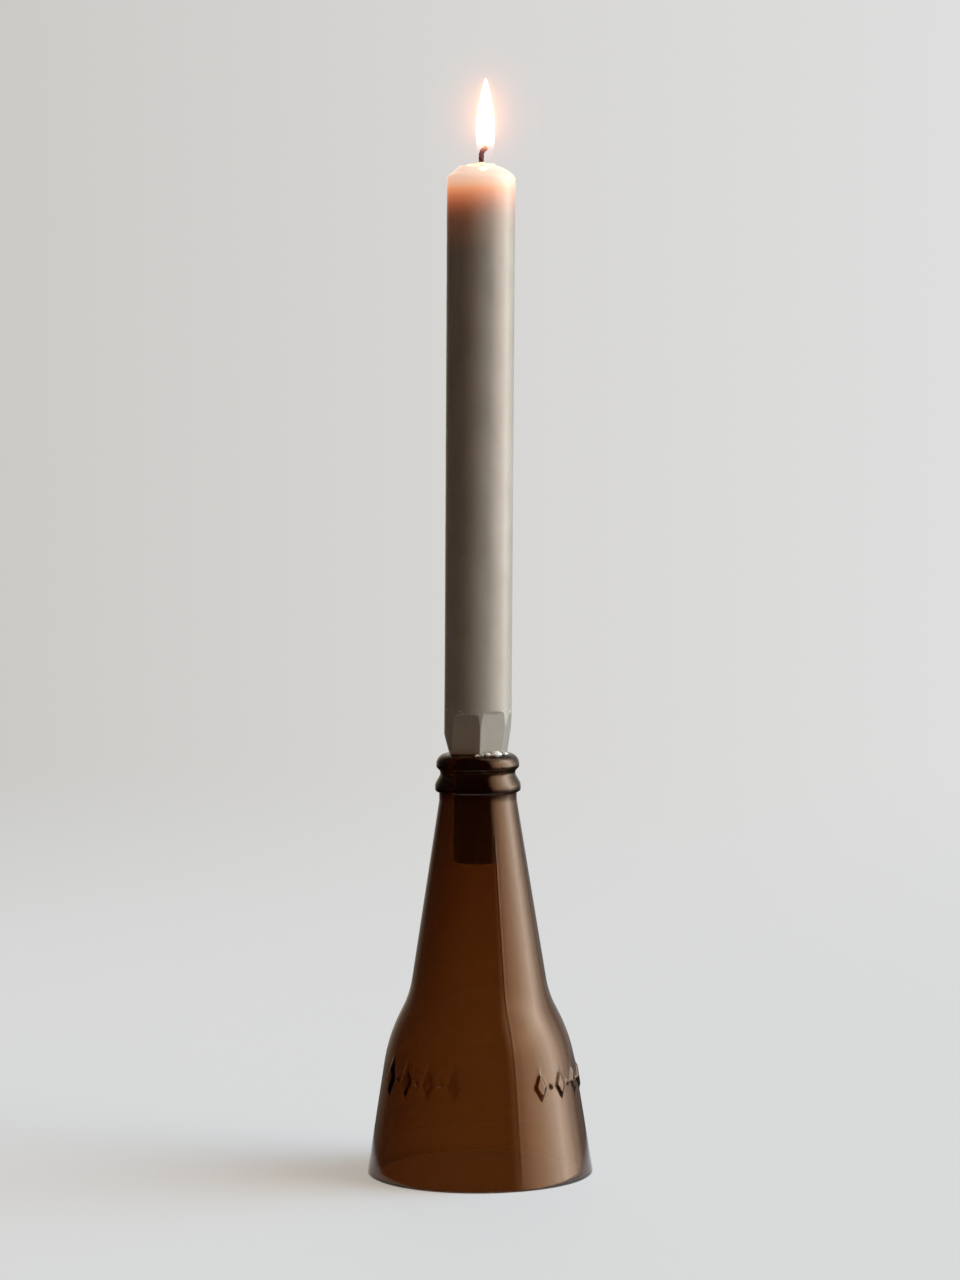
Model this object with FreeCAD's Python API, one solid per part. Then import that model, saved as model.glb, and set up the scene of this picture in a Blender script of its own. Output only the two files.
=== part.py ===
"""Glass candlestick made from the cut-off top of an amber bottle, with a lit dinner candle in its mouth.

Frame: millimetres, +Z up along the axis of the glass, -Y to the front, origin at the centre of the cut rim,
on the surface that the candlestick stands on. Each sub-part is written to parts/NODE.step.
"""
import FreeCAD, Part
import math
import os

Vec = FreeCAD.Vector
UP = Vec(0, 0, 1)
ORIGIN = Vec(0, 0, 0)

# Glass: the skirt, shoulder and neck of the bottle
RIM_RADIUS = 36.3            # outside of the cut rim
RIM_EDGE = 0.5               # rounding left by grinding and polishing the cut
WALL = 3.0                   # skirt and shoulder
DRAFT = 9.0                  # degrees from vertical, of the skirt and of the neck
SHOULDER_TURN = 17.8         # degrees more, at the steepest part of the shoulder
SHOULDER_START = 36.2        # along the skirt, where the shoulder begins to round over
SHOULDER_RADIUS = 54.0       # outward bulge
SHOULDER_STRAIGHT = 2.5      # between the bulge and the waist
WAIST_RADIUS = 30.0          # inward sweep below the neck
NECK_RADIUS = 12.42          # straight collar below the crown finish
NECK_TOP = 120.3

# Glass: the 26 mm crown finish
LIP_HEIGHT = 135.3
LOCKING_RING = 13.3          # radius
TRANSFER_BEAD = 13.72        # radius
GROOVE = 12.05               # radius between them
BORE_RADIUS = 8.2
BORE_BOTTOM = 122.0
LIP_OUTER_ROUND = 3.4
LIP_INNER_ROUND = 1.6

# Glass: a plain moulded band of lozenges and beads on the shoulder
BAND_FOOT = 26.4             # height of the lozenges' lower points
BAND_PROUD = 1.0             # how far it stands out of the wall
LOZENGE_WIDE = 5.6
BEAD_RADIUS = 1.15
BAND_PITCH = 16.5            # degrees between lozenges
# Groups: azimuth of the first lozenge from the front towards +X, number of lozenges, height of a lozenge
BAND_GROUPS = [(38.0, 7, 10.3), (-65.0, 4, 13.0)]

# Candle: it leans a little in the mouth, about a point at the lip
LEAN = 0.7                   # degrees towards +X
CANDLE_RADIUS = 10.75        # at the foot
CANDLE_TOP_RADIUS = 10.88    # the mould's draft
FOOT_DEPTH = 35.0            # below the lip
PEG_RADIUS = 7.5             # whittled to go into the bore
SEAT_LOW, SEAT_HIGH = -1.4, 0.3
SEAT_RADIUS = 9.2            # where the whittled part meets the lip
DOME_START = 183.0           # above the lip
DOME_TOP = 187.7
PLATEAU_RADIUS = 5.9
# Knife cuts above the seat: azimuth from the front towards +X, height where the cut starts, how deep
# the knife goes in there, tilt. Angles are in degrees.
KNIFE_CUTS = [
    (30, 14.2, 0.35, 5.2), (77, 13.2, 0.1, 8.2), (122, 11.8, 0.3, 6.6), (156, 9.0, 0.3, 8.4),
    (-168, 12.5, 0.35, 6.2), (-128, 10.0, 0.3, 7.6), (-86, 6.2, 0.05, 15.0), (-24, 13.4, 0.3, 5.4),
]

# Wick, melted wax and flame, along the candle's own axis, with heights above the lip
WICK_RADIUS = 0.75
WICK_BEND_START = 190.2
WICK_BEND_RADIUS = 2.6
WICK_BEND = 75.0             # degrees towards +X
POOL_RADIUS, POOL_DEPTH = 4.6, 0.7
FLAME_OFFSET = 1.25          # the flame stands over the wick's bent tip
FLAME_FOOT = 188.6
FLAME_OUTLINE = [
    (0.8, 0), (2.0, 1.2), (2.7, 4.0), (3.0, 10.0), (2.88, 14.5), (2.55, 17.8),
    (2.05, 20.5), (1.45, 23.0), (0.8, 24.9), (0.2, 25.9),
]

# Crumbs of wax on the lip: azimuth from the front towards +X, size
CRUMBS = [(-1, 0.7), (8, 1.0), (17.5, 1.6), (31, 2.2), (43, 0.9), (54, 1.3), (62, 0.8)]
CRUMB_GAP = 0.25             # between a crumb and the candle


def rounded_outline(corners):
    """A closed wire in the XZ plane through (radius, height, rounding) corners, with tangent arcs."""
    count = len(corners)
    points = [Vec(r, 0, z) for r, z, _ in corners]
    edges, arcs = [], []
    for i, (_, _, rounding) in enumerate(corners):
        here = points[i]
        before = (points[i - 1] - here).normalize()
        after = (points[(i + 1) % count] - here).normalize()
        if rounding == 0:
            arcs.append((here, None, here))
            continue
        half = before.getAngle(after) / 2
        reach = rounding / math.tan(half)
        middle = (before + after).normalize()
        centre = here + middle * (rounding / math.sin(half))
        arcs.append((here + before * reach, centre - middle * rounding, here + after * reach))
    for i, (start, middle, end) in enumerate(arcs):
        if middle is not None:
            edges.append(Part.Arc(start, middle, end).toShape())
        following = arcs[(i + 1) % count][0]
        if end.distanceToPoint(following) > 1e-6:
            edges.append(Part.LineSegment(end, following).toShape())
    return Part.Wire(Part.__sortEdges__(edges))


def revolved(corners):
    return Part.Face(rounded_outline(corners)).revolve(ORIGIN, UP, 360)


def direction(azimuth):
    """Unit vector away from the axis, at an azimuth from the front (-Y) towards +X."""
    angle = math.radians(azimuth)
    return Vec(math.sin(angle), -math.cos(angle), 0)


def along(angle_from_vertical, length):
    """A step up and inward, in (radius, height)."""
    angle = math.radians(angle_from_vertical)
    return -math.sin(angle) * length, math.cos(angle) * length


def shoulder_corners():
    """Where the skirt, the shoulder and the neck would meet if nothing were rounded, on the outside."""
    half_turn = math.tan(math.radians(SHOULDER_TURN / 2))
    slope = SHOULDER_STRAIGHT + (SHOULDER_RADIUS + WAIST_RADIUS) * half_turn
    low_r, low_z = along(DRAFT, SHOULDER_START + SHOULDER_RADIUS * half_turn)
    across_r, across_z = along(DRAFT + SHOULDER_TURN, slope)
    low = (RIM_RADIUS + low_r, low_z)
    return low, (low[0] + across_r, low[1] + across_z)


def inset(corner, distance):
    """A shoulder corner moved inward by a wall thickness, square to both of the lines that meet there."""
    first, second = math.radians(DRAFT), math.radians(DRAFT + SHOULDER_TURN)
    share = distance / (1 + math.cos(second - first))
    return (
        corner[0] - share * (math.cos(first) + math.cos(second)),
        corner[1] - share * (math.sin(first) + math.sin(second)),
    )


def outer_wall(proud=0.0):
    """Corners of the outside from the rim up to the neck, moved outward by proud."""
    bulge, waist = (inset(corner, -proud) for corner in shoulder_corners())
    return [
        (RIM_RADIUS + proud / math.cos(math.radians(DRAFT)), 0, RIM_EDGE),
        (*bulge, SHOULDER_RADIUS + proud),
        (*waist, WAIST_RADIUS - proud),
        (NECK_RADIUS + proud, NECK_TOP, 6.0),
    ]


def glass_shell():
    bulge, waist = (inset(corner, WALL) for corner in shoulder_corners())
    crown_finish = [
        (NECK_RADIUS, 123.0, 0.25),
        (TRANSFER_BEAD, 123.0, 1.0),
        (TRANSFER_BEAD, 125.6, 2.0),
        (GROOVE, 128.55, 1.2),
        (GROOVE, 129.75, 1.0),
        (LOCKING_RING, 130.95, 1.2),
        (LOCKING_RING, LIP_HEIGHT, LIP_OUTER_ROUND),
        (BORE_RADIUS, LIP_HEIGHT, LIP_INNER_ROUND),
    ]
    inside = [
        (BORE_RADIUS, BORE_BOTTOM, 8.0),
        (*waist, WAIST_RADIUS + WALL),
        (*bulge, SHOULDER_RADIUS - WALL),
        (RIM_RADIUS - WALL / math.cos(math.radians(DRAFT)), 0, RIM_EDGE),
    ]
    return revolved(outer_wall() + crown_finish + inside)


def radial_prism(wire, azimuth, height):
    """A flat outline, drawn in the YZ plane about its middle, pushed outward at an azimuth and a height."""
    prism = Part.Face(wire).extrude(Vec(20, 0, 0))
    prism.translate(Vec(RIM_RADIUS - 12, 0, height))
    prism.rotate(ORIGIN, UP, azimuth - 90)
    return prism


def band_motifs():
    """Lozenges with a round bead between each pair, in groups."""
    bead = Part.Wire(Part.makeCircle(BEAD_RADIUS, ORIGIN, Vec(1, 0, 0)))
    side = Vec(0, LOZENGE_WIDE / 2, 0)
    motifs = []
    for first, count, high in BAND_GROUPS:
        point = Vec(0, 0, high / 2)
        lozenge = Part.makePolygon([point, side, -point, -side, point])
        middle = BAND_FOOT + high / 2
        for i in range(count):
            motifs.append(radial_prism(lozenge, first + i * BAND_PITCH, middle))
            if i < count - 1:
                motifs.append(radial_prism(bead, first + (i + 0.5) * BAND_PITCH, middle))
    return motifs


def bottle_top():
    """The glass in one piece. The band is the wall's own shape, moved outward inside each motif's outline."""
    shell = glass_shell()
    core = [(0, 0, 0), *outer_wall(BAND_PROUD), (0, NECK_TOP, 0)]
    thicker = revolved(core)
    hollow = revolved([(0, 0, 0), *outer_wall(-WALL / 2), (0, NECK_TOP, 0)])
    raised = [motif.common(thicker).cut(hollow) for motif in band_motifs()]
    return shell.multiFuse(raised).removeSplitter()


def knife_cut(azimuth, start, entry, tilt):
    """What one flat cut of the knife takes off the foot: everything outside a plane that leans inward going down."""
    height = start - SEAT_HIGH + 0.8
    waste = Part.makeBox(8, 30, height, Vec(0, -15, -height))
    waste.rotate(ORIGIN, Vec(0, 1, 0), tilt)
    waste.translate(Vec(CANDLE_RADIUS - entry, 0, start))
    waste.rotate(ORIGIN, UP, azimuth - 90)
    return waste


def pool_solid():
    """Melted wax in a shallow dish round the wick."""
    dish_radius = (POOL_RADIUS**2 + POOL_DEPTH**2) / (2 * POOL_DEPTH)
    ball = Part.makeSphere(dish_radius, Vec(0, 0, DOME_TOP - POOL_DEPTH + dish_radius))
    return ball.common(Part.makeCylinder(POOL_RADIUS + 1, POOL_DEPTH + 1, Vec(0, 0, DOME_TOP - POOL_DEPTH - 1)))


def wick_solid():
    """Waxed cotton through the whole candle, with its burnt end bent over."""
    bend_end = math.radians(180 - WICK_BEND)
    bend_middle = math.radians(180 - WICK_BEND / 2)
    centre = Vec(WICK_BEND_RADIUS, 0, WICK_BEND_START)

    def on_bend(angle):
        return centre + Vec(math.cos(angle), 0, math.sin(angle)) * WICK_BEND_RADIUS

    foot, bend = Vec(0, 0, -FOOT_DEPTH), Vec(0, 0, WICK_BEND_START)
    path = Part.Wire([
        Part.LineSegment(foot, bend).toShape(),
        Part.Arc(bend, on_bend(bend_middle), on_bend(bend_end)).toShape(),
    ])
    section = Part.Wire(Part.makeCircle(WICK_RADIUS, foot, UP))
    return path.makePipeShell([section], True, False)


def candle_solid():
    body = revolved([
        (0, -FOOT_DEPTH, 0),
        (PEG_RADIUS, -FOOT_DEPTH, 0.6),
        (PEG_RADIUS, SEAT_LOW, 0.3),
        (SEAT_RADIUS, SEAT_HIGH, 0),
        (CANDLE_RADIUS, SEAT_HIGH, 0),
        (CANDLE_RADIUS, KNIFE_CUTS[0][1], 0),
        (CANDLE_TOP_RADIUS, DOME_START, 1.5),
        (PLATEAU_RADIUS, DOME_TOP, 6.0),
        (0, DOME_TOP, 0),
    ])
    for cut in KNIFE_CUTS:
        body = body.cut(knife_cut(*cut))
    return body


def flame_solid():
    """A pointed drop, lofted through circles."""
    circles = [Part.Wire(Part.makeCircle(r, Vec(FLAME_OFFSET, 0, FLAME_FOOT + z))) for r, z in FLAME_OUTLINE]
    return Part.makeLoft(circles, True, False)


def on_candle(shape):
    """From the candle's own axis, with the lip at height 0, to its leaning place in the mouth."""
    shape.rotate(ORIGIN, Vec(0, 1, 0), LEAN)
    shape.translate(Vec(0, 0, LIP_HEIGHT))
    return shape


def candle_face(azimuth, height):
    """Distance from the axis to the candle's side at an azimuth and a height above the lip."""
    distance = CANDLE_RADIUS
    for cut_azimuth, start, entry, tilt in KNIFE_CUTS:
        away = math.radians(azimuth - cut_azimuth)
        if math.cos(away) > 0.5 and height < start:
            plane = CANDLE_RADIUS - entry - (start - height) * math.tan(math.radians(tilt))
            distance = min(distance, plane / math.cos(away))
    return distance


def crumb(azimuth, size):
    """An angular chip of wax that rests on the lip beside the candle."""
    chip = Part.makeBox(size, size * 1.25, size * 0.9, Vec(-size / 2, -size * 0.62, -size * 0.35))
    chip = chip.common(Part.makeSphere(size * 0.66))
    chip.rotate(ORIGIN, Vec(1, 0.4, 0.2), azimuth * 7 % 40 - 20)
    out = max(candle_face(azimuth + side, size) for side in (-6, 0, 6)) + CRUMB_GAP + size * 0.66
    chip.translate(direction(azimuth) * out + UP * (LIP_HEIGHT + size * 0.28))
    return chip


def crumbs(glass):
    """Loose shavings on the lip, each cut to lie against the glass."""
    return Part.makeCompound([crumb(*c).cut(glass).Solids[0] for c in CRUMBS])


def build():
    glass = bottle_top()
    wick = wick_solid()
    pool = pool_solid()
    return {
        "glass_bottle_top": glass,
        "candle_wax": on_candle(candle_solid().cut(wick).cut(pool)),
        "melted_wax": on_candle(pool.cut(wick)),
        "flame": on_candle(flame_solid().cut(wick)),
        "wick": on_candle(wick),
        "wax_crumbs": crumbs(glass),
    }


os.makedirs("parts", exist_ok=True)
for node, shape in build().items():
    box = shape.BoundBox
    print(
        f"{node}: {len(shape.Solids)} solids, valid {shape.isValid()}, {shape.Volume / 1000:.2f} cm3, "
        f"X {box.XMin:.1f} to {box.XMax:.1f}, Z {box.ZMin:.1f} to {box.ZMax:.1f}"
    )
    shape.exportStep(f"parts/{node}.step")
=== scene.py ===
import math
import random

import bmesh
import bpy
from mathutils import Matrix, Vector, noise


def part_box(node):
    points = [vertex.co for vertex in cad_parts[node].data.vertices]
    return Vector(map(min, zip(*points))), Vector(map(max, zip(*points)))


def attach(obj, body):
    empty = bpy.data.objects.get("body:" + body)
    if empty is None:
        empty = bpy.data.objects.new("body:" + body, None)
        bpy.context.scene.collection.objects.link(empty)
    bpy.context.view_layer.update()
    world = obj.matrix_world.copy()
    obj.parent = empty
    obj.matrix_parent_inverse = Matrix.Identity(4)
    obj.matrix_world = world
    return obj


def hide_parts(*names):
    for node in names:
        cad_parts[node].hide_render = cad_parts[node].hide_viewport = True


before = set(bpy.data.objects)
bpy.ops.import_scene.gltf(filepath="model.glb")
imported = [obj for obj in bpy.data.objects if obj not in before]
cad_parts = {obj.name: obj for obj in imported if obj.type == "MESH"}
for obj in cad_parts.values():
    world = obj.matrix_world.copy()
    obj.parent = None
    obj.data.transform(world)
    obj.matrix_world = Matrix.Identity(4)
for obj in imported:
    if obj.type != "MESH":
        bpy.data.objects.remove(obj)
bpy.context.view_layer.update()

MM = 0.001

# The object's sizes are in millimetres and its angles in degrees. The camera, the lamp and the
# shaders' own lengths are in metres. Azimuths run from the front, -Y, towards +X.

# ------------------------------------------------------------------ glass dimensions
LIP_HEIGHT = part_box("glass_bottle_top")[1].z / MM
RIM_RADIUS = 36.3            # outside of the cut rim
RIM_EDGE = 0.5               # rounding left by grinding the cut
WALL = 3.0                   # skirt and shoulder
DRAFT = 9.0                  # from vertical, of the skirt and of the neck
SHOULDER_TURN = 17.8         # more than the draft, at the steepest part of the shoulder
SHOULDER_START = 36.2        # along the skirt, where the shoulder begins to round over
SHOULDER_RADIUS = 54.0       # outward bulge
SHOULDER_STRAIGHT = 2.5      # between the bulge and the waist
WAIST_RADIUS = 30.0          # inward sweep below the neck
NECK_RADIUS = 12.42          # straight collar below the crown finish
NECK_TOP = 120.3
BEAD_LOW, BEAD_HIGH = 123.0, 125.6
GROOVE_LOW, GROOVE_HIGH = 128.55, 129.75
RING_LOW = 130.95
LOCKING_RING = 13.3          # radius
TRANSFER_BEAD = 13.72        # radius
GROOVE = 12.05               # radius between them
LIP_OUTER_ROUND = 3.4
LIP_INNER_ROUND = 1.6
BORE_RADIUS = 8.2
BORE_BOTTOM = 122.0
RELIEF_FROM = 14.2           # radius beyond which the outside isn't the crown finish
SEAM_AZIMUTHS = (22.0, 202.0)
SEAM_PROUD, SEAM_WIDE = 0.07, 0.22
MOULD_WAVES = 0.02           # depth of the slow waves outside
BLOWN_RIPPLES, BLOWN_SWELLS = 0.05, 0.06     # depths of the shorter and the longer waves inside
WAVES_LOW, WAVES_HIGH = 1.0, 118.0           # the waves and the seams are only between these heights
GROUND_HIGH, GROUND_LOW = 0.75, 0.35         # between these heights polished wall turns to ground rim
POLISHED_ROUGHNESS, GROUND_ROUGHNESS = 0.015, 0.4

# A plain moulded band of lozenges and beads
BAND_LOW, BAND_HIGH = 24, 41     # between these heights the rows of the mesh are close together
BAND_STEP, PLAIN_STEP = 0.42, 2.2            # about the longest steps between rows, there and elsewhere
BAND_FOOT = 26.4             # height of the lozenges' lower points
BAND_PROUD = 0.65
BAND_EDGE = 1.05             # how far in from its outline a motif reaches its full height
LOZENGE_WIDE = 5.6
BEAD_RADIUS = 1.15
BAND_PITCH = 16.5            # degrees between lozenges
# Groups: azimuth of the first lozenge, number of lozenges, height of a lozenge
BAND_GROUPS = [(38.0, 7, 10.3), (-65.0, 4, 13.0)]

# ------------------------------------------------------------------ candle dimensions
# Heights are above the lip, along the candle's own axis.
LEAN = 0.7                   # towards +X
CANDLE_RADIUS = 10.75        # at the foot
CANDLE_TOP_RADIUS = 10.88
FOOT_DEPTH = 35.0            # below the lip
PEG_RADIUS = 7.5             # whittled to go into the bore
PEG_SIDES = 9
SEAT_LOW, SEAT_HIGH = -1.4, 0.3
SEAT_RADIUS = 9.2            # where the whittled part meets the lip
DOME_START = 183.0
DOME_TOP = 187.7
# A low ridge and a dip on the left of the dome: radius, height
DOME_RIDGE, DOME_DIP = (6.8, 0.5), (9.2, 0.25)
WET_DEPTH, DRY_DEPTH = 2.6, 4.2              # below the dome's top, between which wet wax turns to dry
# Knife cuts: azimuth, height where the cut starts, how deep the knife goes in there, tilt
KNIFE_CUTS = [
    (30, 14.2, 0.6, 4.2), (77, 13.2, 0.1, 8.2), (122, 11.8, 0.3, 6.6), (156, 9.0, 0.3, 8.4),
    (-168, 12.5, 0.35, 6.2), (-128, 10.0, 0.3, 7.6), (-86, 6.2, 0.05, 15.0), (-22, 13.4, 0.8, 3.3),
]
CUT_ENTRY_HEIGHT = 0.9       # over which the knife reaches that depth
WICK_RADIUS = 0.85
WICK_BEND_START = 190.2
WICK_BEND_RADIUS = 2.6
WICK_BEND = 75.0
# Half outline of the wet wax round the wick: radius, height on the dome
POOL_OUTLINE = [
    (0.5, -0.5), (2.5, -0.5), (3.9, -0.35), (4.45, -0.12), (4.55, 0.0), (4.4, 0.08), (4.0, 0.11),
    (3.0, 0.08), (1.8, 0.10), (1.1, 0.22), (0.75, 0.45),
]
FLAME_OFFSET = 1.25          # towards the side that the wick bends to
FLAME_FOOT = 188.6
FLAME_HEIGHT = 25.9
# Half outline of the flame: radius, height above its foot
FLAME_OUTLINE = [
    (0.05, 0), (0.8, 0.12), (1.45, 0.55), (2.0, 1.3), (2.4, 2.4), (2.7, 4.0), (2.86, 6.2), (2.9, 8.8),
    (2.87, 10.8), (2.72, 13.2), (2.45, 15.5), (2.1, 17.6), (1.7, 19.7), (1.3, 21.6), (0.9, 23.3),
    (0.5, 24.8), (0.22, 25.6), (0.05, FLAME_HEIGHT),
]

# Chips of wax on the lip: azimuth, size
CHIPS = [(-1, 0.7), (8, 1.0), (17.5, 1.6), (31, 2.2), (43, 0.9), (54, 1.3), (62, 0.8)]
CHIPS_INNER = 9.95           # radius where the chips' inner sides lie
CHIP_SHAPE = (0.72, 0.55, 0.36)              # half the width, depth and height of a chip of size 1
DUST_COUNT = 16
DUST_ARC = (-6, 66)
DUST_SIZES = (0.25, 0.5)

# From the candle's own axis, with the lip at height 0, to its leaning place in the mouth
ON_CANDLE = Matrix.Translation((0, 0, LIP_HEIGHT)) @ Matrix.Rotation(math.radians(LEAN), 4, "Y")


# ------------------------------------------------------------------ helpers
def smooth(x):
    x = min(max(x, 0.0), 1.0)
    return x * x * (3 - 2 * x)


def bumps(x, y, z, size, seed=0):
    """Smooth noise from -1 to 1, with features about size across."""
    return noise.noise(Vector((x / size + 17.3 * seed, y / size - 9.1 * seed, z / size + 4.7 * seed)))


def make_piece(name, vertices, faces, matrix=None):
    """A mesh object from millimetres, smooth-shaded."""
    mesh = bpy.data.meshes.new(name)
    place = Matrix.Scale(MM, 4) @ (matrix or Matrix.Identity(4))
    mesh.from_pydata([place @ Vector(v) for v in vertices], [], faces)
    mesh.validate()
    mesh.shade_smooth()
    piece = bpy.data.objects.new(name, mesh)
    bpy.context.scene.collection.objects.link(piece)
    return piece


def ring_faces(rows, count, closed):
    """Quads between consecutive rings of count vertices; closed joins the last ring to the first."""
    faces = []
    for j in range(rows if closed else rows - 1):
        low, high = j * count, (j + 1) % rows * count
        for i in range(count):
            k = (i + 1) % count
            faces.append((low + i, low + k, high + k, high + i))
    return faces


def capped(vertices, faces, rows, count):
    """Closes a tube's two ends with fans."""
    for ring, flip in ((0, True), (rows - 1, False)):
        first = ring * count
        centre = sum((Vector(v) for v in vertices[first:first + count]), Vector()) / count
        vertices.append(centre)
        hub = len(vertices) - 1
        for i in range(count):
            a, b = first + i, first + (i + 1) % count
            faces.append((hub, b, a) if flip else (hub, a, b))
    return vertices, faces


def rounded_profile(corners, longest):
    """Points along a closed outline of (radius, height, rounding) corners.

    No two are much further apart than longest(height).
    """
    count = len(corners)
    points = [Vector((r, z)) for r, z, _ in corners]
    stops = []
    for i, (_, _, rounding) in enumerate(corners):
        here = points[i]
        before = (points[i - 1] - here).normalized()
        after = (points[(i + 1) % count] - here).normalized()
        if rounding == 0:
            stops.append([here])
            continue
        half = before.angle(after) / 2
        reach = rounding / math.tan(half)
        centre = here + (before + after).normalized() * (rounding / math.sin(half))
        start, end = here + before * reach - centre, here + after * reach - centre
        turn = start.angle_signed(end)
        by_length = math.ceil(abs(turn) * rounding / longest(here.y))
        by_angle = math.ceil(abs(turn) / math.radians(12))
        steps = max(3, by_length, by_angle)
        arc = []
        for k in range(steps + 1):
            angle = -turn * k / steps
            c, s = math.cos(angle), math.sin(angle)
            arc.append(centre + Vector((c * start.x - s * start.y, s * start.x + c * start.y)))
        stops.append(arc)
    outline = []
    for i, arc in enumerate(stops):
        outline.extend(arc)
        end, following = arc[-1], stops[(i + 1) % count][0]
        here = end
        while (following - here).length > 1.3 * longest(here.y):
            here = here + (following - here).normalized() * longest(here.y)
            outline.append(here)
    clean = [outline[0]]
    for point in outline[1:]:
        if (point - clean[-1]).length > 1e-4:
            clean.append(point)
    return clean


# ------------------------------------------------------------------ glass
def along(angle, length):
    """A step of (radius, height) up a wall that leans inwards by an angle."""
    angle = math.radians(angle)
    return Vector((-math.sin(angle) * length, math.cos(angle) * length))


def shoulder_corners():
    """Where the straight walls meet, outside: below and above the steepest part of the shoulder."""
    half_turn = math.tan(math.radians(SHOULDER_TURN / 2))
    low = Vector((RIM_RADIUS, 0)) + along(DRAFT, SHOULDER_START + SHOULDER_RADIUS * half_turn)
    slope = SHOULDER_STRAIGHT + (SHOULDER_RADIUS + WAIST_RADIUS) * half_turn
    return low, low + along(DRAFT + SHOULDER_TURN, slope)


def inset(corner, distance):
    """The corner of the inner wall that matches a corner of the outer wall."""
    first, second = math.radians(DRAFT), math.radians(DRAFT + SHOULDER_TURN)
    share = distance / (1 + math.cos(second - first))
    both_normals = Vector((math.cos(first) + math.cos(second), math.sin(first) + math.sin(second)))
    return corner - share * both_normals


def band_height(azimuth, height, radius):
    """How far the moulded band stands out of the wall at a place on the skirt."""
    best = 0.0
    for first, count, high in BAND_GROUPS:
        middle = BAND_FOOT + high / 2
        up = height - middle
        if abs(up) > high / 2:
            continue
        a, b = LOZENGE_WIDE / 2, high / 2
        square = math.hypot(1 / a, 1 / b)
        for i in range(count):
            turn = (azimuth - first - i * BAND_PITCH + 180) % 360 - 180
            across = math.radians(turn) * radius
            if abs(across) < a:
                inside = (1 - abs(across) / a - abs(up) / b) / square
                best = max(best, smooth(inside / BAND_EDGE))
            turn -= BAND_PITCH / 2
            across = math.radians(turn) * radius
            if i < count - 1 and abs(across) < BEAD_RADIUS and abs(up) < BEAD_RADIUS:
                inside = BEAD_RADIUS - math.hypot(across, up)
                best = max(best, smooth(inside / BAND_EDGE))
    return best * BAND_PROUD


def glass_corners():
    """Corners of the glass's section: up the outside, over the lip and down the inside."""
    bulge, waist = shoulder_corners()
    inner_bulge, inner_waist = inset(bulge, WALL), inset(waist, WALL)
    return [
        (RIM_RADIUS, 0, RIM_EDGE),
        (bulge.x, bulge.y, SHOULDER_RADIUS),
        (waist.x, waist.y, WAIST_RADIUS),
        (NECK_RADIUS, NECK_TOP, 6.0),
        (NECK_RADIUS, BEAD_LOW, 0.25),
        (TRANSFER_BEAD, BEAD_LOW, 1.0),
        (TRANSFER_BEAD, BEAD_HIGH, 2.0),
        (GROOVE, GROOVE_LOW, 1.2),
        (GROOVE, GROOVE_HIGH, 1.0),
        (LOCKING_RING, RING_LOW, 1.2),
        (LOCKING_RING, LIP_HEIGHT, LIP_OUTER_ROUND),
        (BORE_RADIUS, LIP_HEIGHT, LIP_INNER_ROUND),
        (BORE_RADIUS, BORE_BOTTOM, 8.0),
        (inner_waist.x, inner_waist.y, WAIST_RADIUS + WALL),
        (inner_bulge.x, inner_bulge.y, SHOULDER_RADIUS - WALL),
        (RIM_RADIUS - WALL / math.cos(math.radians(DRAFT)), 0, RIM_EDGE),
    ]


def outside_relief(azimuth, point, body):
    """The band, the slow waves of the mould and its two seams, outwards from the plain wall."""
    a = math.radians(azimuth)
    x, y = math.sin(a), -math.cos(a)
    out = 0.0
    if BAND_LOW < point.y < BAND_HIGH:
        out = band_height(azimuth, point.y, point.x)
    out += MOULD_WAVES * body * bumps(x * point.x, y * point.x, point.y * 0.35, 9.0)
    seam = min(abs((azimuth - s + 180) % 360 - 180) for s in SEAM_AZIMUTHS)
    out += SEAM_PROUD * math.exp(-(math.radians(seam) * point.x / SEAM_WIDE) ** 2) * body
    return out


def inside_relief(azimuth, point, body):
    """The uneven wall that blowing leaves inside."""
    a = math.radians(azimuth)
    x, y = math.sin(a), -math.cos(a)
    out = BLOWN_RIPPLES * body * bumps(x * 10, y * 10, point.y * 0.12, 3.2, 3)
    out += BLOWN_SWELLS * body * bumps(x * 10, y * 10, point.y * 0.25, 7.0, 5)
    return out


def make_glass():
    profile = rounded_profile(
        glass_corners(), lambda z: BAND_STEP if BAND_LOW < z < BAND_HIGH else PLAIN_STEP,
    )
    rows, count = len(profile), 480
    vertices = []
    for j, point in enumerate(profile):
        before, after = profile[j - 1], profile[(j + 1) % rows]
        tangent = (after - before).normalized()
        normal = Vector((tangent.y, -tangent.x))
        outside = normal.x > 0 and point.x > RELIEF_FROM
        body = smooth((WAVES_HIGH - point.y) / 14) * smooth((point.y - WAVES_LOW) / 6)
        for i in range(count):
            azimuth = 360.0 * i / count
            out = 0.0
            if outside:
                out = outside_relief(azimuth, point, body)
            elif normal.x < 0:
                out = inside_relief(azimuth, point, body)
            a = math.radians(azimuth)
            r = point.x + normal.x * out
            vertices.append((math.sin(a) * r, -math.cos(a) * r, point.y + normal.y * out))
    return make_piece("glass_bell", vertices, ring_faces(rows, count, True))


# ------------------------------------------------------------------ candle
def candle_radius(azimuth, height):
    """Radius of the candle above its seat, with the knife cuts taken off."""
    radius = CANDLE_RADIUS + (CANDLE_TOP_RADIUS - CANDLE_RADIUS) * max(height, 0) / DOME_START
    for cut_azimuth, start, entry, tilt in KNIFE_CUTS:
        away = math.radians(azimuth - cut_azimuth)
        below = start - height
        if math.cos(away) > 0.5 and below > 0:
            depth = entry * smooth(below / CUT_ENTRY_HEIGHT)
            plane = CANDLE_RADIUS - depth - below * math.tan(math.radians(tilt))
            radius = min(radius, plane / math.cos(away))
    return radius


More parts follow.
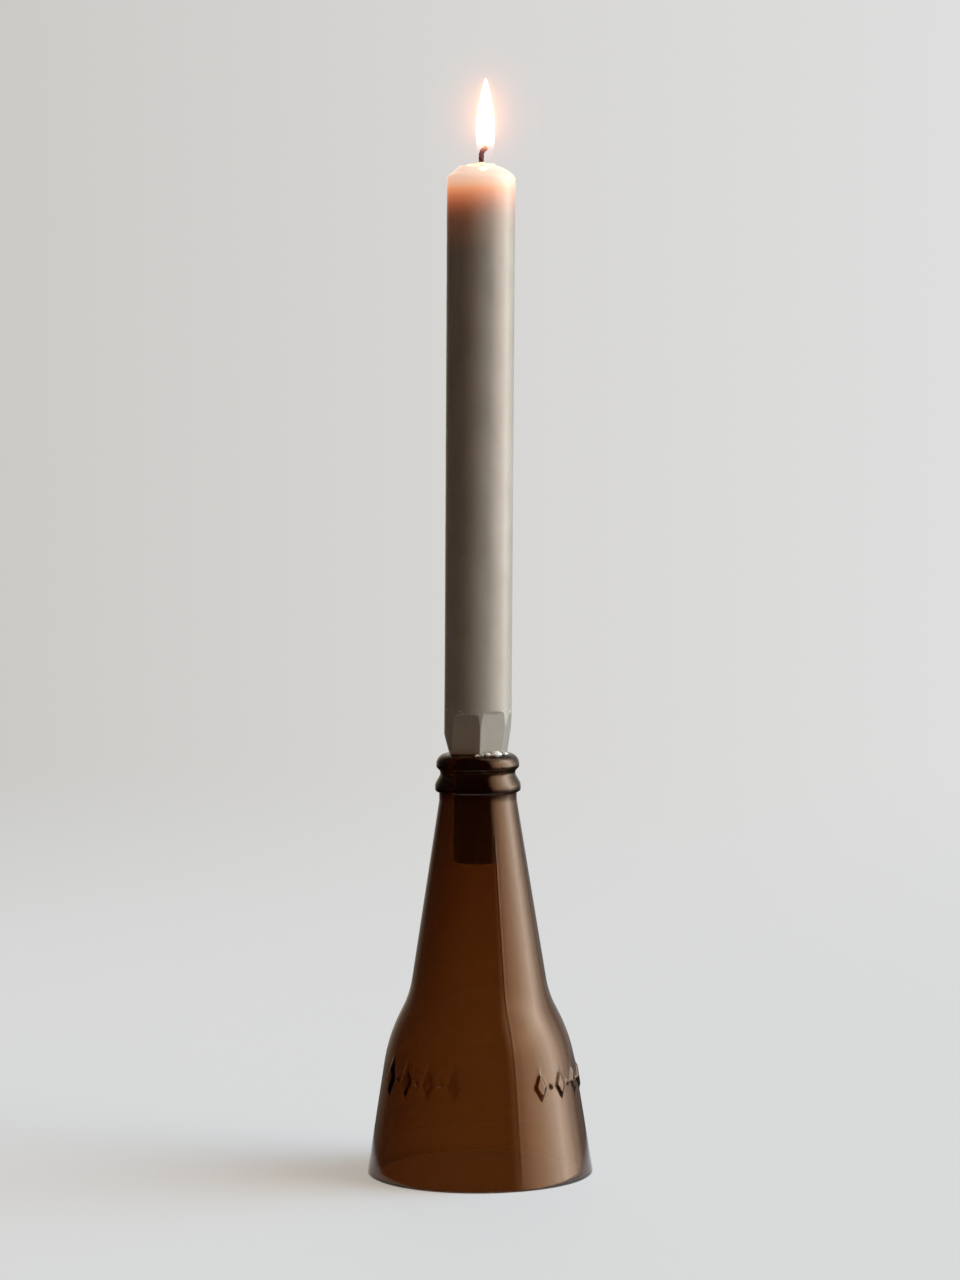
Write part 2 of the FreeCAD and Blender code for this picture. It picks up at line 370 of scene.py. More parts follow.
def candle_heights():
    """Heights of the candle's rings: close together over the seat and the knife cuts."""
    heights = []
    h = -FOOT_DEPTH + 0.6
    while h < SEAT_LOW - 0.2:
        heights.append(h)
        h += 1.4
    heights += [SEAT_LOW, SEAT_LOW + 0.5, SEAT_LOW + 1.0, SEAT_HIGH - 0.2]
    h = SEAT_HIGH
    while h < 15:
        heights.append(h)
        h += 0.3
    while h < DOME_START - 1:
        heights.append(h)
        h += 2.5
    return heights


def peg_radius(azimuth, h):
    """Radius of the whittled peg, whose flats twist a little, widening to the seat."""
    a = math.radians(azimuth)
    side = 360 / PEG_SIDES
    flat = math.cos(math.radians((azimuth + 7 * math.sin(h * 0.13)) % side - side / 2))
    peg = PEG_RADIUS * math.cos(math.radians(side / 2)) / flat
    peg += 0.05 * bumps(math.sin(a) * 4, math.cos(a) * 4, h * 0.3, 1.2, 2)
    blend = smooth((h - SEAT_LOW) / (SEAT_HIGH - SEAT_LOW))
    return peg + (SEAT_RADIUS - PEG_RADIUS) * blend


def dome_height(x, y, r):
    """Height of the melted top at a radius r in the direction (x, y)."""
    u = r / CANDLE_TOP_RADIUS
    z = DOME_START + (DOME_TOP - DOME_START) * (1 - u * u) ** 0.7
    left = smooth((-x - 0.2) / 0.6)
    ridge, dip = (high * math.exp(-((r - place) / 0.8) ** 2) for place, high in (DOME_RIDGE, DOME_DIP))
    z += left * (ridge - dip)
    z += 0.10 * bumps(x * r, y * r, 0, 3.5, 4) * smooth((10.6 - r) / 2)
    return z


def make_candle():
    count = 288
    azimuths = [360.0 * i / count - 180.0 for i in range(count)]
    vertices = []
    foot = [
        (2.5, -FOOT_DEPTH), (5.0, -FOOT_DEPTH), (PEG_RADIUS - 0.7, -FOOT_DEPTH),
        (PEG_RADIUS - 0.2, -FOOT_DEPTH + 0.15),
    ]
    for r, z in foot:
        for azimuth in azimuths:
            a = math.radians(azimuth)
            vertices.append((math.sin(a) * r, -math.cos(a) * r, z))
    heights = candle_heights()
    for h in heights:
        for azimuth in azimuths:
            a = math.radians(azimuth)
            if h < SEAT_HIGH - 0.05:
                r = peg_radius(azimuth, h)
            else:
                r = candle_radius(azimuth, h)
                r -= 0.03 * (1 - bumps(math.sin(a) * 11, math.cos(a) * 11, h, 6.0, 1)) * smooth((h - 14) / 10)
            vertices.append((math.sin(a) * r, -math.cos(a) * r, h))
    dome_rows = 34
    for k in range(dome_rows):
        r = CANDLE_TOP_RADIUS * math.cos(k / (dome_rows - 1) * math.pi / 2)
        for azimuth in azimuths:
            a = math.radians(azimuth)
            x, y = math.sin(a), -math.cos(a)
            vertices.append((x * r, y * r, dome_height(x, y, r)))
    rows = len(foot) + len(heights) + dome_rows
    faces = ring_faces(rows, count, False)
    vertices, faces = capped(vertices, faces, rows, count)
    return make_piece("dinner_candle", vertices, faces, ON_CANDLE)


def make_melted_wax():
    """A thin wet film with a rounded edge round the wick."""
    count = 96
    vertices = []
    for r, z in POOL_OUTLINE:
        for i in range(count):
            a = 2 * math.pi * i / count
            x, y = math.sin(a), -math.cos(a)
            edge = r * (1 + 0.08 * bumps(x, y, 0, 0.8, 6) * smooth((r - 1.5) / 2))
            vertices.append((x * edge, y * edge, DOME_TOP - 0.35 * (r / 4.5) ** 2 + z))
    faces = ring_faces(len(POOL_OUTLINE), count, False)
    vertices, faces = capped(vertices, faces, len(POOL_OUTLINE), count)
    return make_piece("wax_pool", vertices, faces, ON_CANDLE)


# ------------------------------------------------------------------ wick
def wick_path():
    """Points and directions along the wick, from the candle's foot to the burnt tip."""
    path = []
    h = -FOOT_DEPTH + 0.02
    while h < WICK_BEND_START:
        path.append((Vector((0, 0, h)), Vector((0, 0, 1))))
        h += 2.0 if h < DOME_TOP - 3 else 0.12
    steps = 28
    for k in range(steps + 1):
        angle = math.radians(WICK_BEND) * k / steps
        across, up = WICK_BEND_RADIUS * (1 - math.cos(angle)), WICK_BEND_RADIUS * math.sin(angle)
        direction = Vector((math.sin(angle), 0, math.cos(angle)))
        path.append((Vector((across, 0, WICK_BEND_START + up)), direction))
    return path


def make_wick():
    path = wick_path()
    count = 36
    vertices = []
    travelled = 0.0
    for j, (centre, direction) in enumerate(path):
        if j:
            travelled += (centre - path[j - 1][0]).length
        side = Vector((direction.z, 0, -direction.x))
        front = Vector((0, 1, 0))
        end = smooth((len(path) - 1 - j) / 4 + 0.35)
        for i in range(count):
            a = 2 * math.pi * i / count
            right, left = math.cos(1.5 * a + travelled * 2.6), math.cos(1.5 * a - travelled * 2.6 + 0.8)
            r = WICK_RADIUS * (0.66 + 0.34 * max(abs(right), abs(left))) * end
            if centre.z > DOME_TOP:
                r *= 1 + 0.10 * bumps(math.cos(a), math.sin(a), travelled, 0.5, 8)
            vertices.append(centre + (side * math.cos(a) + front * math.sin(a)) * r)
    faces = ring_faces(len(path), count, False)
    vertices, faces = capped(vertices, faces, len(path), count)
    return make_piece("braided_wick", vertices, faces, ON_CANDLE)


# ------------------------------------------------------------------ flame
def make_flame():
    count = 72
    vertices = []
    rows = 0
    for (r0, z0), (r1, z1) in zip(FLAME_OUTLINE, FLAME_OUTLINE[1:]):
        for t in (0, 0.25, 0.5, 0.75):
            r, z = r0 + (r1 - r0) * t, z0 + (z1 - z0) * t
            for i in range(count):
                a = 2 * math.pi * i / count
                vertices.append((FLAME_OFFSET + math.cos(a) * r, math.sin(a) * r, FLAME_FOOT + z))
            rows += 1
    faces = ring_faces(rows, count, False)
    vertices, faces = capped(vertices, faces, rows, count)
    return make_piece("candle_flame", vertices, faces, ON_CANDLE)


# ------------------------------------------------------------------ shavings
def make_crumbs():
    """Chips of wax on the lip, each in the place of its CAD solid, and dust between them."""
    rng = random.Random(7)
    vertices, faces = [], []
    wide, deep, high = CHIP_SHAPE
    dust = [(rng.uniform(*DUST_ARC), rng.uniform(*DUST_SIZES)) for _ in range(DUST_COUNT)]
    for azimuth, size in CHIPS + dust:
        a = math.radians(azimuth)
        out = CHIPS_INNER + 0.5 * size + (rng.uniform(0.0, 1.6) if size < 0.6 else 0.0)
        base = Vector((math.sin(a) * out, -math.cos(a) * out, LIP_HEIGHT + 0.30 * size))
        turn = Matrix.Rotation(a + rng.uniform(-0.4, 0.4), 3, "Z")
        turn = turn @ Matrix.Rotation(rng.uniform(-0.3, 0.3), 3, "X")
        first = len(vertices)
        rings, count = 14, 20
        for j in range(rings + 1):
            lat = math.pi * (j / rings - 0.5)
            for i in range(count):
                lon = 2 * math.pi * i / count
                v = Vector((math.cos(lat) * math.cos(lon), math.cos(lat) * math.sin(lon), math.sin(lat)))
                lump = 1 + 0.5 * bumps(v.x + azimuth, v.y, v.z, 0.7, 9)
                lump += 0.25 * bumps(v.x, v.y + azimuth, v.z, 0.3, 3)
                v = Vector((v.x * wide, v.y * deep, v.z * high)) * size * lump
                vertices.append(base + turn @ v)
        for j in range(rings):
            for i in range(count):
                k = (i + 1) % count
                p = first + j * count
                faces.append((p + i, p + k, p + count + k, p + count + i))
    piece = make_piece("wax_shavings", vertices, faces)
    mesh = bmesh.new()
    mesh.from_mesh(piece.data)
    bmesh.ops.remove_doubles(mesh, verts=mesh.verts, dist=1e-6)
    mesh.to_mesh(piece.data)
    mesh.free()
    return piece


# ------------------------------------------------------------------ materials
def new_material(name):
    material = bpy.data.materials.new(name)
    material.use_nodes = True
    nodes = material.node_tree.nodes
    nodes.clear()
    output = nodes.new("ShaderNodeOutputMaterial")
    return material, nodes, material.node_tree.links, output


def principled(nodes, links, output, **values):
    """A Principled shader on the output, with constant values on its own sockets."""
    shader = nodes.new("ShaderNodeBsdfPrincipled")
    for key, value in values.items():
        shader.inputs[key.replace("_", " ")].default_value = value
    links.new(shader.outputs[0], output.inputs["Surface"])
    return shader


def object_position(nodes, links):
    """Object coordinates in millimetres."""
    coordinates = nodes.new("ShaderNodeTexCoord")
    scale = nodes.new("ShaderNodeVectorMath")
    scale.operation = "SCALE"
    scale.inputs["Scale"].default_value = 1 / MM
    links.new(coordinates.outputs["Object"], scale.inputs[0])
    return scale.outputs[0]


def texture(nodes, links, vector, size, detail=3.0, stretch=(1, 1, 1)):
    """Noise with features about size millimetres across."""
    mapping = nodes.new("ShaderNodeMapping")
    mapping.inputs["Scale"].default_value = [s / size for s in stretch]
    links.new(vector, mapping.inputs["Vector"])
    field = nodes.new("ShaderNodeTexNoise")
    field.inputs["Scale"].default_value = 1.0
    field.inputs["Detail"].default_value = detail
    links.new(mapping.outputs[0], field.inputs["Vector"])
    return field.outputs["Fac"]


def grey(*stops):
    """Colour stops from (place, level) pairs."""
    return [(place, (level,) * 3) for place, level in stops]


def ramp(nodes, links, factor, stops):
    colours = nodes.new("ShaderNodeValToRGB")
    elements = colours.color_ramp.elements
    while len(elements) < len(stops):
        elements.new(0.5)
    for element, (place, colour) in zip(elements, stops):
        element.position = place
        element.color = (*colour, 1) if len(colour) == 3 else colour
    links.new(factor, colours.inputs[0])
    return colours.outputs[0]


def map_range(nodes, links, value, low, high, to_low=0.0, to_high=1.0):
    node = nodes.new("ShaderNodeMapRange")
    links.new(value, node.inputs["Value"])
    for key, number in (("From Min", low), ("From Max", high), ("To Min", to_low), ("To Max", to_high)):
        node.inputs[key].default_value = number
    return node.outputs[0]


def maths(nodes, links, operation, first, second):
    """A Math node between two sockets or numbers."""
    node = nodes.new("ShaderNodeMath")
    node.operation = operation
    for socket, value in zip(node.inputs, (first, second)):
        if isinstance(value, (int, float)):
            socket.default_value = value
        else:
            links.new(value, socket)
    return node.outputs[0]


def height_of(nodes, links, vector):
    split = nodes.new("ShaderNodeSeparateXYZ")
    links.new(vector, split.inputs[0])
    return split.outputs["Z"]


def bump(nodes, links, shader, height, distance, strength=1.0):
    node = nodes.new("ShaderNodeBump")
    node.inputs["Distance"].default_value = distance * MM
    node.inputs["Strength"].default_value = strength
    links.new(height, node.inputs["Height"])
    links.new(node.outputs[0], shader.inputs["Normal"])


def glass_material():
    """Clear amber glass: the colour comes from its thickness, and the cut rim is ground matt."""
    material, nodes, links, output = new_material("amber_glass")
    shader = principled(
        nodes, links, output, Base_Color=(0.9, 0.72, 0.5, 1), Roughness=0.02, IOR=1.52,
        Transmission_Weight=1.0,
    )
    absorb = nodes.new("ShaderNodeVolumeAbsorption")
    absorb.inputs["Color"].default_value = (0.519, 0.306, 0.016, 1)
    absorb.inputs["Density"].default_value = 700.0
    links.new(absorb.outputs[0], output.inputs["Volume"])
    vector = object_position(nodes, links)
    height = height_of(nodes, links, vector)
    ground = map_range(nodes, links, height, GROUND_HIGH, GROUND_LOW, POLISHED_ROUGHNESS, GROUND_ROUGHNESS)
    haze = texture(nodes, links, vector, 14.0, 4.0)
    haze = map_range(nodes, links, haze, 0.45, 0.8, 0.0, 0.05)
    links.new(maths(nodes, links, "ADD", ground, haze), shader.inputs["Roughness"])
    bump(nodes, links, shader, texture(nodes, links, vector, 5.0, 2.0, (1, 1, 0.35)), 0.05, 0.12)
    return material


# Painted glow of the flame's light inside the wax: depth below the top, and colour
GLOW_DEPTH = 28.0
GLOW = [
    (GLOW_DEPTH, (0.0, 0.0, 0.0)), (25.0, (0.02, 0.004, 0.001)), (21.7, (0.043, 0.010, 0.003)),
    (18.5, (0.067, 0.014, 0.003)), (15.9, (0.138, 0.026, 0.007)), (13.4, (0.287, 0.060, 0.020)),
    (10.8, (0.534, 0.146, 0.057)), (9.5, (0.70, 0.22, 0.09)), (8.2, (0.84, 0.305, 0.134)),
    (7.2, (0.90, 0.42, 0.24)), (5.7, (0.92, 0.546, 0.383)), (2.5, (0.95, 0.68, 0.54)),
    (0.0, (1.0, 0.81, 0.62)),
]
# Where the pale flecks lie: from the lower to the upper of these heights above the lip
FLECK_RING_LOW, FLECK_RING_HIGH = 11.0, 17.0
FLECK_RING = grey((0.0, 0.0), (0.28, 0.0), (0.40, 1.0), (0.56, 1.0), (0.66, 0.0), (1.0, 0.0))


def wax_colour(nodes, links, vector, height):
    """Cloudy grey, with pale flecks in a ring where the knife cuts start."""
    cloud = texture(nodes, links, vector, 9.0, 5.0, (1, 1, 0.5))
    plain = ramp(nodes, links, cloud, [(0.3, (0.292, 0.259, 0.200)), (0.7, (0.345, 0.308, 0.240))])
    border = map_range(nodes, links, height, LIP_HEIGHT + FLECK_RING_LOW, LIP_HEIGHT + FLECK_RING_HIGH)
    border = ramp(nodes, links, border, FLECK_RING)
    fleck = ramp(nodes, links, texture(nodes, links, vector, 0.75, 1.0), grey((0.66, 0.0), (0.72, 1.0)))
    fleck_mix = nodes.new("ShaderNodeMix")
    fleck_mix.data_type = "RGBA"
    links.new(maths(nodes, links, "MULTIPLY", border, fleck), fleck_mix.inputs[0])
    links.new(plain, fleck_mix.inputs[6])
    fleck_mix.inputs[7].default_value = (0.85, 0.83, 0.78, 1)
    return fleck_mix.outputs[2]


def wax_material():
    """Grey wax, wet at the top, with pale flecks where the knife cuts start and a painted glow of the flame's
    light inside it.
    """
    material, nodes, links, output = new_material("grey_wax")
    shader = principled(
        nodes, links, output, Roughness=0.34, IOR=1.44, Subsurface_Weight=0.12, Subsurface_Scale=0.002,
        Subsurface_Radius=(1.0, 0.6, 0.4), Specular_IOR_Level=0.5,
    )
    vector = object_position(nodes, links)
    height = height_of(nodes, links, vector)
    top = LIP_HEIGHT + DOME_TOP
    links.new(wax_colour(nodes, links, vector, height), shader.inputs["Base Color"])
    dry = nodes.new("ShaderNodeMix")
    links.new(map_range(nodes, links, height, top - WET_DEPTH, top - DRY_DEPTH), dry.inputs[0])
    dry.inputs[2].default_value = 0.07
    smears = texture(nodes, links, vector, 4.0, 4.0)
    links.new(map_range(nodes, links, smears, 0.3, 0.7, 0.13, 0.21), dry.inputs[3])
    links.new(dry.outputs[0], shader.inputs["Roughness"])
    # Painted glow: emission brightest at the top stands in for the flame's light inside the wax.
    place = map_range(nodes, links, height, top - GLOW_DEPTH, top)
    stops = [(1 - depth / GLOW_DEPTH, colour) for depth, colour in GLOW]
    links.new(ramp(nodes, links, place, stops), shader.inputs["Emission Color"])
    shader.inputs["Emission Strength"].default_value = 0.85
    bump(nodes, links, shader, texture(nodes, links, vector, 0.9, 4.0), 0.02, 0.25)
    return material


def pool_material():
    material, nodes, links, output = new_material("melted_wax")
    shader = principled(nodes, links, output, Base_Color=(0.75, 0.6, 0.42, 1), Roughness=0.05, IOR=1.44)
    vector = object_position(nodes, links)
    cloud = texture(nodes, links, vector, 2.0, 3.0)
    # Painted glow: the wet wax gives off light, standing in for the flame's light in it.
    painted_glow = ramp(nodes, links, cloud, [(0.3, (0.85, 0.62, 0.36)), (0.7, (0.95, 0.74, 0.46))])
    links.new(painted_glow, shader.inputs["Emission Color"])
    shader.inputs["Emission Strength"].default_value = 0.8
    return material


def wick_material():
    material, nodes, links, output = new_material("braided_cotton")
    shader = principled(nodes, links, output, Roughness=0.85)
    vector = object_position(nodes, links)
    height = height_of(nodes, links, vector)
    top = LIP_HEIGHT + DOME_TOP
    place = map_range(nodes, links, height, top - 1.0, top + 6.0)
    burnt = ramp(nodes, links, place, [
        (0.0, (0.45, 0.38, 0.28)), (0.15, (0.035, 0.014, 0.011)), (0.6, (0.028, 0.012, 0.01)),
        (1.0, (0.10, 0.04, 0.02)),
    ])
    links.new(burnt, shader.inputs["Base Color"])
    place = map_range(nodes, links, height, top + 3.6, top + 5.6)
    ember = ramp(nodes, links, place, [
        (0.0, (0.0, 0.0, 0.0)), (0.35, (0.30, 0.10, 0.05)), (1.0, (1.0, 0.45, 0.2)),
    ])
    links.new(ember, shader.inputs["Emission Color"])
    shader.inputs["Emission Strength"].default_value = 1.0
    bump(nodes, links, shader, texture(nodes, links, vector, 0.25, 3.0), 0.06, 0.7)
    return material


def flame_material():
    """Light only: nearly clear and bluish round the wick, solid above."""
    material, nodes, links, output = new_material("flame")
    vector = object_position(nodes, links)
    height = height_of(nodes, links, vector)
    low = LIP_HEIGHT + FLAME_FOOT
    place = map_range(nodes, links, height, low, low + FLAME_HEIGHT)
    light = nodes.new("ShaderNodeEmission")
    colour = ramp(nodes, links, place, [
        (0.0, (0.40, 0.34, 0.62)), (0.12, (0.75, 0.50, 0.62)), (0.22, (1.0, 0.72, 0.52)),
        (0.34, (1.0, 0.90, 0.70)), (0.75, (1.0, 0.90, 0.66)), (1.0, (1.0, 0.80, 0.46)),
    ])
    links.new(colour, light.inputs["Color"])
    light.inputs["Strength"].default_value = 5.0
    clear = nodes.new("ShaderNodeBsdfTransparent")
    mix = nodes.new("ShaderNodeMixShader")
    stops = grey((0.0, 0.008), (0.13, 0.015), (0.21, 0.08), (0.29, 0.45), (0.38, 1.0))
    dense = ramp(nodes, links, place, stops)
    links.new(dense, mix.inputs[0])
    links.new(clear.outputs[0], mix.inputs[1])
    links.new(light.outputs[0], mix.inputs[2])
    links.new(mix.outputs[0], output.inputs["Surface"])
    return material


def crumb_material():
    material, nodes, links, output = new_material("pale_wax")
    shader = principled(
        nodes, links, output, Roughness=0.45, Subsurface_Weight=0.4, Subsurface_Scale=0.0008,
        Subsurface_Radius=(1.0, 0.8, 0.6),
    )
    vector = object_position(nodes, links)
    cloud = texture(nodes, links, vector, 0.6, 3.0)
    colour = ramp(nodes, links, cloud, [(0.3, (0.60, 0.53, 0.42)), (0.7, (0.82, 0.74, 0.61))])
    links.new(colour, shader.inputs["Base Color"])
    bump(nodes, links, shader, texture(nodes, links, vector, 0.3, 4.0), 0.05, 0.6)
    return material


def dress(piece, material, body, node):
    """Gives a piece its material, ties it to its body and hides the CAD node that it stands for."""
    piece.data.materials.append(material)
    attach(piece, body)
    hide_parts(node)


# ------------------------------------------------------------------ studio
FLOOR_RADIUS = 4500.0
FLOOR_SHADE = (0.365, 0.378, 0.37, 1)        # takes the shadow
FLOOR_PALE = (0.64, 0.60, 0.545)             # added where the camera sees the floor
FLOOR_PAINTED_GLASS_LIGHT = (0.24, 0.125, 0.06)      # painted amber light inside the rim, standing in for the light that comes through the glass
FLOOR_GLOW = 0.62
FLOOR_FADE = (250.0, 1400.0)                 # radii between which the floor gives way to the backdrop
FLOOR_MIRROR_FADE = (60.0, 110.0)            # the same for what the object reflects


def make_floor():
    count, rings = 96, 40
    vertices, faces = [(0, 0, 0)], []
    for j in range(1, rings + 1):
        r = FLOOR_RADIUS * (j / rings) ** 2
        for i in range(count):
            a = 2 * math.pi * i / count
            vertices.append((math.cos(a) * r, math.sin(a) * r, 0))
    for i in range(count):
        faces.append((0, 1 + i, 1 + (i + 1) % count))
    for j in range(rings - 1):
        for i in range(count):
            p, k = 1 + j * count, (i + 1) % count
            faces.append((p + i, p + count + i, p + count + k, p + k))
    floor = make_piece("floor", vertices, faces)
    floor.data.materials.append(floor_material())


def floor_material():
    """A matt floor that shows its own pale light to the camera but throws none on the object; inside the rim
    that light is painted amber and dimmer, in place of light through the glass.
    """
    material, nodes, links, output = new_material("pale_floor")
    vector = object_position(nodes, links)
    matt = nodes.new("ShaderNodeBsdfPrincipled")
    matt.inputs["Base Color"].default_value = FLOOR_SHADE
    matt.inputs["Roughness"].default_value = 0.7
    length = nodes.new("ShaderNodeVectorMath")
    length.operation = "LENGTH"
    links.new(vector, length.inputs[0])
    distance = length.outputs["Value"]
    place = map_range(nodes, links, distance, 0.0, 100.0)
    # Inside the rim the floor's light is painted amber, standing in for light through the glass.
    pale = ramp(nodes, links, place, [(0.33, FLOOR_PAINTED_GLASS_LIGHT), (0.35, FLOOR_PALE), (1.0, FLOOR_PALE)])
    links.new(pale, matt.inputs["Emission Color"])
    path = nodes.new("ShaderNodeLightPath")
    seen = maths(nodes, links, "MAXIMUM", path.outputs["Is Camera Ray"], path.outputs["Is Transmission Ray"])
    seen = maths(nodes, links, "MAXIMUM", seen, path.outputs["Is Glossy Ray"])
    links.new(maths(nodes, links, "MULTIPLY", seen, FLOOR_GLOW), matt.inputs["Emission Strength"])
    fade = nodes.new("ShaderNodeMapRange")
    fade.interpolation_type = "SMOOTHSTEP"
    links.new(distance, fade.inputs["Value"])
    fade.inputs["From Min"].default_value, fade.inputs["From Max"].default_value = FLOOR_FADE
    gone = maths(nodes, links, "MULTIPLY", map_range(nodes, links, distance, *FLOOR_MIRROR_FADE),
                 path.outputs["Is Glossy Ray"])
    clear = nodes.new("ShaderNodeBsdfTransparent")
    mix = nodes.new("ShaderNodeMixShader")
    links.new(maths(nodes, links, "MAXIMUM", gone, fade.outputs[0]), mix.inputs[0])
    links.new(matt.outputs[0], mix.inputs[1])
    links.new(clear.outputs[0], mix.inputs[2])
    links.new(mix.outputs[0], output.inputs["Surface"])
    return material


LAMP_AIM = (0, 0, 0.17)


def soft_light(name, azimuth, elevation, distance, size, colour, power):
    """An area light, in metres, that lights surfaces but isn't itself seen in the glass."""
    a, e = math.radians(azimuth), math.radians(elevation)
    light = bpy.data.lights.new(name, "AREA")
    light.shape = "RECTANGLE"
    light.size, light.size_y = size
    light.color = colour
    light.energy = power
    lamp = bpy.data.objects.new(name, light)
    lamp.visible_glossy = False
    lamp.visible_transmission = False
    away = Vector((math.sin(a) * math.cos(e), -math.cos(a) * math.cos(e), math.sin(e)))
    lamp.location = Vector(LAMP_AIM) + away * distance
    lamp.rotation_mode = "QUATERNION"
    lamp.rotation_quaternion = (-away).to_track_quat("-Z", "Y")
    bpy.context.scene.collection.objects.link(lamp)


# The room round the object, as shiny surfaces see it: azimuth, and radiance. The window is at the right.
ROOM_UNIT = 9.0
ROOM = [
    (-180, (0.60, 0.56, 0.50)), (-168, (0.66, 0.56, 0.44)), (-152, (0.34, 0.26, 0.19)),
    (-130, (0.06, 0.04, 0.03)), (-80, (0.035, 0.024, 0.018)), (0, (0.02, 0.015, 0.012)),
    (34, (0.03, 0.02, 0.014)), (39, (0.6, 0.33, 0.18)), (46, (2.2, 1.2, 0.66)), (57, (3.9, 2.25, 1.3)),
    (70, (5.1, 3.25, 2.0)), (84, (6.6, 4.8, 3.3)), (100, (8.4, 6.5, 5.0)), (110, (5.6, 4.2, 3.1)),
    (121, (2.5, 1.9, 1.4)), (138, (0.7, 0.5, 0.38)), (158, (0.50, 0.46, 0.43)), (180, (0.60, 0.56, 0.50)),
]
# The same for the light that falls on the wax and the floor: a cool window, and a dim warm room in front
WINDOW = [
    (-180, (0.5, 0.48, 0.45)), (-145, (0.13, 0.072, 0.03)), (-100, (0.13, 0.045, 0.002)),
    (25, (0.155, 0.048, 0.001)), (42, (0.9, 0.42, 0.12)), (52, (3.3, 2.3, 1.5)), (62, (6.2, 6.1, 6.3)),
    (78, (6.7, 8.1, 9.8)), (100, (5.6, 7.4, 9.9)), (121, (2.0, 2.7, 3.6)), (140, (0.6, 0.58, 0.55)),
    (180, (0.5, 0.48, 0.45)),
]
# How bright both are by height: the sine of the elevation runs from ROOM_LOW to 1
ROOM_LOW = -0.25
ROOM_HEIGHT = grey(
    (0.0, 0.06), (0.07, 0.10), (0.16, 0.8), (0.44, 0.87), (0.56, 1.0), (0.72, 0.7), (0.84, 0.3), (1.0, 0.15),
)
# The pale backdrop that the camera sees, and that shows through the glass, from left to right: painted
# brighter towards the window at the right
BACKDROP = [(0.0, (0.600, 0.592, 0.572)), (0.5, (0.680, 0.672, 0.657)), (1.0, (0.735, 0.735, 0.735))]
BACKDROP_HALF = 0.12


def around(nodes, links, place, stops):
    """Colours by azimuth, scaled down to fit a colour ramp."""
    return ramp(nodes, links, place, [
        (angle / 360 + 0.5, tuple(c / ROOM_UNIT for c in colour)) for angle, colour in stops
    ])


def make_world():
    """Light of the room for the object, and a pale backdrop for the camera, painted brighter towards the
    window.
    """
    world = bpy.data.worlds.new("room")
    bpy.context.scene.world = world
    world.use_nodes = True
    nodes, links = world.node_tree.nodes, world.node_tree.links
    nodes.clear()
    output = nodes.new("ShaderNodeOutputWorld")
    coordinates = nodes.new("ShaderNodeTexCoord")
    split = nodes.new("ShaderNodeSeparateXYZ")
    links.new(coordinates.outputs["Generated"], split.inputs[0])
    x, y, z = split.outputs
    azimuth = maths(nodes, links, "ARCTAN2", x, maths(nodes, links, "MULTIPLY", y, -1.0))
    place = map_range(nodes, links, azimuth, -math.pi, math.pi)
    path = nodes.new("ShaderNodeLightPath")
    colour = nodes.new("ShaderNodeMix")
    colour.data_type = "RGBA"
    links.new(path.outputs["Is Glossy Ray"], colour.inputs[0])
    links.new(around(nodes, links, place, WINDOW), colour.inputs[6])
    links.new(around(nodes, links, place, ROOM), colour.inputs[7])
    up = ramp(nodes, links, map_range(nodes, links, z, ROOM_LOW, 1.0), ROOM_HEIGHT)
    room = nodes.new("ShaderNodeBackground")
    links.new(colour.outputs[2], room.inputs["Color"])
    links.new(maths(nodes, links, "MULTIPLY", up, ROOM_UNIT), room.inputs["Strength"])
    pale = nodes.new("ShaderNodeBackground")
    # Painted light: the backdrop brightens from left to right, towards the window.
    side = map_range(nodes, links, x, -BACKDROP_HALF, BACKDROP_HALF)
    links.new(ramp(nodes, links, side, BACKDROP), pale.inputs["Color"])
    straight = path.outputs["Is Camera Ray"], path.outputs["Is Transmission Ray"]
    straight = maths(nodes, links, "MAXIMUM", *straight)
    mix = nodes.new("ShaderNodeMixShader")
    links.new(straight, mix.inputs[0])
    links.new(room.outputs[0], mix.inputs[1])
    links.new(pale.outputs[0], mix.inputs[2])
    links.new(mix.outputs[0], output.inputs["Surface"])


CAMERA_PLACE = (0.00096, -1.3066, 0.2611)
CAMERA_DOWN = 3.92
CAMERA_ROLL = -0.35
CAMERA_LENS = 115.3


def make_camera():
    data = bpy.data.cameras.new("camera")
    data.sensor_width = 36.0
    data.lens = CAMERA_LENS
    data.clip_start, data.clip_end = 0.05, 30.0
    camera = bpy.data.objects.new("camera", data)
    camera.location = CAMERA_PLACE
    tilt = Matrix.Rotation(math.radians(90 - CAMERA_DOWN), 4, "X")
    roll = Matrix.Rotation(math.radians(CAMERA_ROLL), 4, "Z")
    camera.matrix_world = Matrix.Translation(camera.location) @ tilt @ roll
    bpy.context.scene.collection.objects.link(camera)
    bpy.context.scene.camera = camera


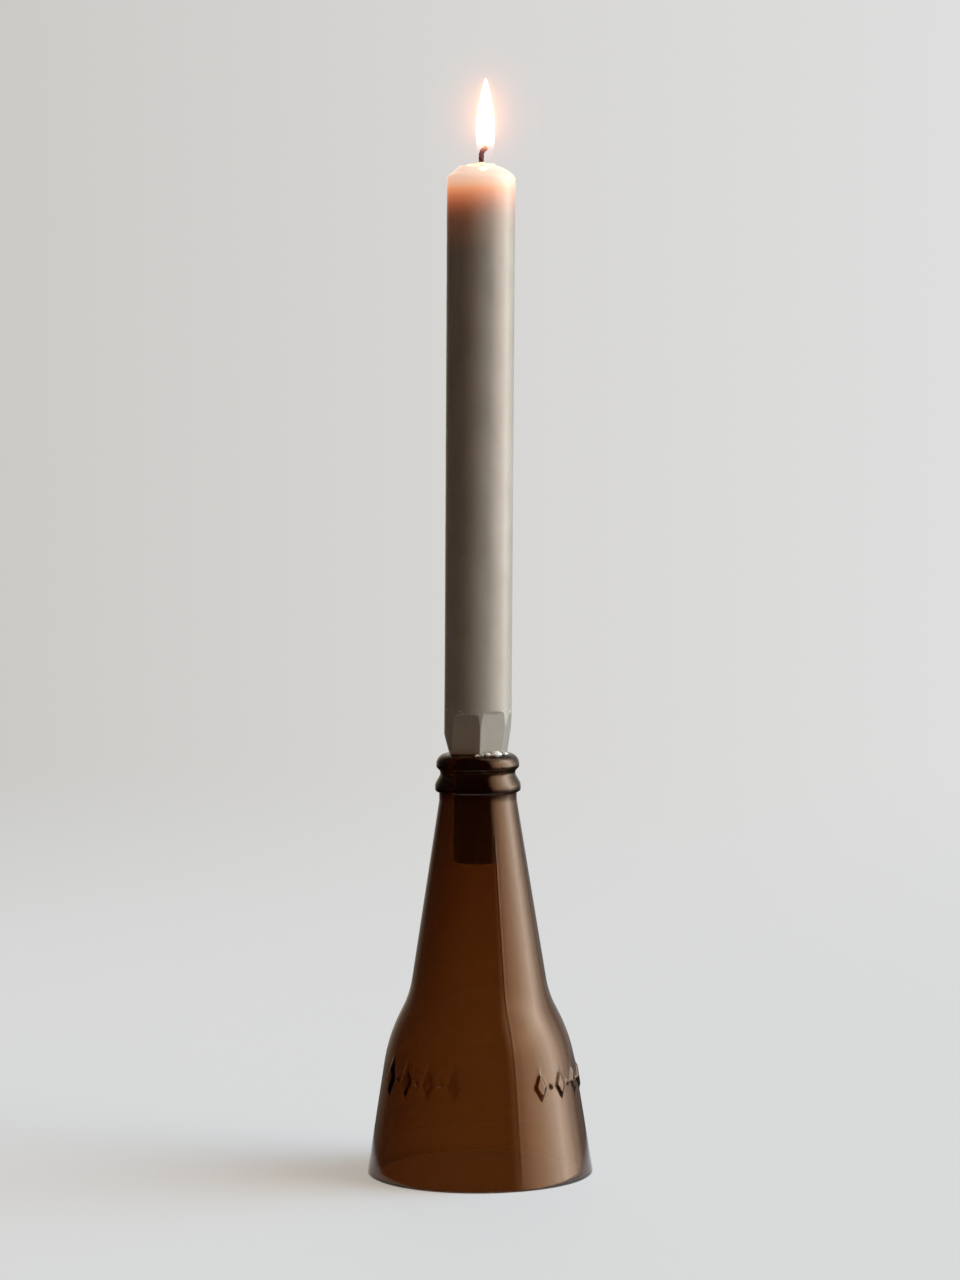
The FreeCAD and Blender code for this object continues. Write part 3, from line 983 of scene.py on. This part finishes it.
def mixed(nodes, links, blend, first, second):
    """A compositor Mix node between two sockets or colours."""
    node = nodes.new("CompositorNodeMixRGB")
    node.blend_type = blend
    for socket, value in zip(node.inputs[1:3], (first, second)):
        if isinstance(value, tuple):
            socket.default_value = value
        else:
            links.new(value, socket)
    return node.outputs[0]


# What is brighter than this makes the halo
HALO_FROM = (3.0, 3.0, 2.6, 1)
# Its layers: how far each spreads, as a share of the picture's width, and its tint
HALO = [(0.075, (0.60, 0.08, 0.0, 1)), (0.038, (0.42, 0.26, 0.12, 1)), (0.01, (0.25, 0.24, 0.24, 1))]


def make_halo():
    """The soft glow that a lens draws round the flame."""
    scene = bpy.context.scene
    scene.use_nodes = True
    nodes, links = scene.node_tree.nodes, scene.node_tree.links
    nodes.clear()
    layers = nodes.new("CompositorNodeRLayers")
    picture = nodes.new("CompositorNodeComposite")
    bright = mixed(nodes, links, "SUBTRACT", layers.outputs["Image"], HALO_FROM)
    bright = mixed(nodes, links, "LIGHTEN", bright, (0, 0, 0, 1))
    image = layers.outputs["Image"]
    for spread, tint in HALO:
        blur = nodes.new("CompositorNodeBlur")
        blur.filter_type = "FAST_GAUSS"
        size = nodes.new("CompositorNodeRelativeToPixel")
        size.data_type = "FLOAT"
        size.reference_dimension = "X"
        size.inputs[1].default_value = spread
        links.new(layers.outputs["Image"], size.inputs["Image"])
        links.new(size.outputs[0], blur.inputs["Size"])
        links.new(bright, blur.inputs["Image"])
        image = mixed(nodes, links, "ADD", image, mixed(nodes, links, "MULTIPLY", blur.outputs[0], tint))
    links.new(image, picture.inputs["Image"])


# ------------------------------------------------------------------ assembly
dress(make_glass(), glass_material(), "holder", "glass_bottle_top")
dress(make_crumbs(), crumb_material(), "holder", "wax_crumbs")
dress(make_candle(), wax_material(), "candle", "candle_wax")
dress(make_melted_wax(), pool_material(), "candle", "melted_wax")
dress(make_wick(), wick_material(), "candle", "wick")
dress(make_flame(), flame_material(), "candle", "flame")

bpy.context.scene.view_settings.view_transform = "Standard"
make_floor()
make_world()
soft_light("window", 84, 16, 2.6, (1.6, 2.2), (0.82, 0.95, 1.0), 8.0)
make_camera()
make_halo()
